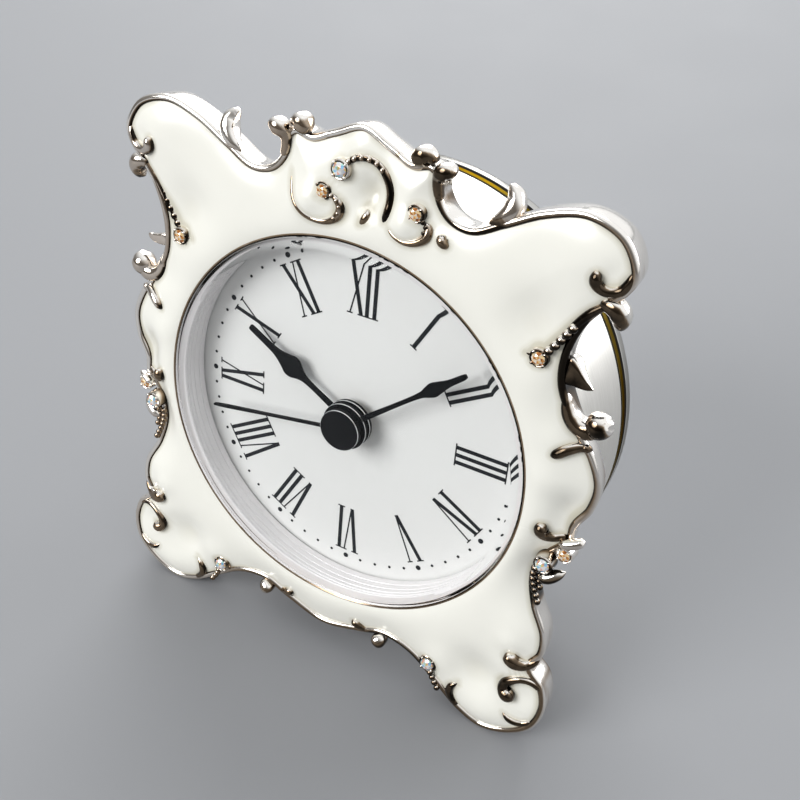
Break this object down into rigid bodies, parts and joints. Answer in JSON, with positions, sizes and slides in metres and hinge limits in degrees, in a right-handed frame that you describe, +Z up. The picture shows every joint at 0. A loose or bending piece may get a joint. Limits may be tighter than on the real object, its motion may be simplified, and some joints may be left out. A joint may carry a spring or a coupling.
{
  "type": "table clock",
  "caption": "Small table clock with a cast rococo scroll frame, enamel field and set stones, a round Roman-numeral dial under a bevelled lens, and a quartz movement in a brushed drum.",
  "frame": {"origin": "on the table under the middle of the clock's box", "axes": "+Z up, +X to the right of the dial as it is read, the dial faces -Y and leans back"},
  "size_m": [0.0664, 0.0374, 0.0716],
  "materials": {
    "cast_silver": "polished casting with dark hollows",
    "enamel": "glossy ivory enamel",
    "clear_stone": "faceted clear stone with a rainbow coat",
    "amber_stone": "faceted amber stone",
    "lens_glass": "clear bevelled lens",
    "dial_white": "satin white with black printing",
    "ring_white": "white inner ring",
    "hand_black": "black",
    "drum_brushed": "brushed round the drum",
    "trim_brass": "polished",
    "cover_steel": "satin",
    "knob_black": "matte",
    "screw_steel": "bright",
    "movement_plastic": "matte",
    "wheel_brass": "satin",
    "iron": "satin",
    "copper_wire": "enamelled copper wire",
    "board_green": "lacquered",
    "can_steel": "plated"
  },
  "bodies": {
    "case": {"frame_casting": "cast_silver", "enamel_field": "enamel", "crest_stone_clear": "clear_stone", "side_stone_clear_left": "clear_stone", "side_stone_clear_right": "clear_stone", "foot_stone_left": "clear_stone", "foot_stone_right": "clear_stone", "crest_stone_amber_left": "amber_stone", "crest_stone_amber_right": "amber_stone", "shoulder_stone_left": "amber_stone", "shoulder_stone_right": "amber_stone", "side_stone_amber_left": "amber_stone", "side_stone_amber_right": "amber_stone", "lens": "lens_glass", "dial": "dial_white", "dial_ring": "ring_white", "case_drum": "drum_brushed", "brass_ring": "trim_brass", "back_cover": "cover_steel", "case_screw_1": "screw_steel", "case_screw_2": "screw_steel", "case_screw_3": "screw_steel", "case_screw_4": "screw_steel", "movement_screw_1": "screw_steel", "movement_screw_2": "screw_steel", "movement_holder": "movement_plastic", "movement_body": "movement_plastic", "movement_cover": "movement_plastic", "train_bridge": "movement_plastic", "contact_negative": "wheel_brass", "contact_positive": "wheel_brass", "stator": "iron", "coil_core": "iron", "coil": "copper_wire", "circuit_board": "board_green", "quartz_can": "can_steel", "button_cell": "can_steel"},
    "seconds_train": {"seconds_wheel": "wheel_brass", "second_hand": "hand_black"},
    "third_wheel_body": {"third_wheel": "wheel_brass"},
    "centre_wheel_body": {"centre_wheel": "wheel_brass"},
    "intermediate_wheel_body": {"intermediate_wheel": "wheel_brass"},
    "rotor_body": {"rotor": "iron"},
    "minute_train": {"minute_hand": "hand_black", "cannon_pinion": "wheel_brass"},
    "minute_wheel_body": {"minute_wheel": "wheel_brass"},
    "hour_train": {"hour_wheel": "wheel_brass", "hour_hand": "hand_black"},
    "setting_shaft": {"setting_stem": "wheel_brass", "setting_knob": "knob_black"},
    "battery_door": {"battery_cap": "cover_steel"}
  },
  "joints": [
    {"name": "second_turn", "type": "hinge", "parent": "case", "child": "seconds_train", "pos_m": [0, -0.00992, 0.0346], "axis": [0, 0.9685, -0.2488], "continuous": true},
    {"name": "third_turn", "type": "hinge", "parent": "case", "child": "third_wheel_body", "pos_m": [-0.00606, -0.00904, 0.03799], "axis": [0, 0.9685, -0.2488], "continuous": true},
    {"name": "centre_turn", "type": "hinge", "parent": "case", "child": "centre_wheel_body", "pos_m": [0, -0.00992, 0.0346], "axis": [0, 0.9685, -0.2488], "continuous": true},
    {"name": "intermediate_turn", "type": "hinge", "parent": "case", "child": "intermediate_wheel_body", "pos_m": [0.00511, -0.00918, 0.03746], "axis": [0, 0.9685, -0.2488], "continuous": true},
    {"name": "rotor_turn", "type": "hinge", "parent": "case", "child": "rotor_body", "pos_m": [0.00599, -0.00794, 0.04228], "axis": [0, 0.9685, -0.2488], "continuous": true},
    {"name": "minute_turn", "type": "hinge", "parent": "case", "child": "minute_train", "pos_m": [0, -0.00992, 0.0346], "axis": [0, 0.9685, -0.2488], "continuous": true},
    {"name": "minute_wheel_turn", "type": "hinge", "parent": "case", "child": "minute_wheel_body", "pos_m": [0, -0.01156, 0.02821], "axis": [0, 0.9685, -0.2488], "continuous": true},
    {"name": "hour_turn", "type": "hinge", "parent": "case", "child": "hour_train", "pos_m": [0, -0.00992, 0.0346], "axis": [0, 0.9685, -0.2488], "continuous": true},
    {"name": "setting_turn", "type": "hinge", "parent": "case", "child": "setting_shaft", "pos_m": [0.00651, -0.01097, 0.03051], "axis": [0, 0.9685, -0.2488], "continuous": true},
    {"name": "battery_cap_turn", "type": "hinge", "parent": "case", "child": "battery_door", "pos_m": [0, -0.01295, 0.02279], "axis": [0, 0.9685, -0.2488], "range_deg": [0, 45]}
  ],
  "couplings": [
    {"joint": "third_turn", "follows": "second_turn", "ratio": -0.13333},
    {"joint": "centre_turn", "follows": "second_turn", "ratio": 0.016667},
    {"joint": "intermediate_turn", "follows": "second_turn", "ratio": -6},
    {"joint": "rotor_turn", "follows": "second_turn", "ratio": 30},
    {"joint": "minute_wheel_turn", "follows": "minute_turn", "ratio": -0.33333},
    {"joint": "hour_turn", "follows": "minute_turn", "ratio": 0.083333},
    {"joint": "setting_turn", "follows": "minute_turn", "ratio": 0.83333}
  ]
}
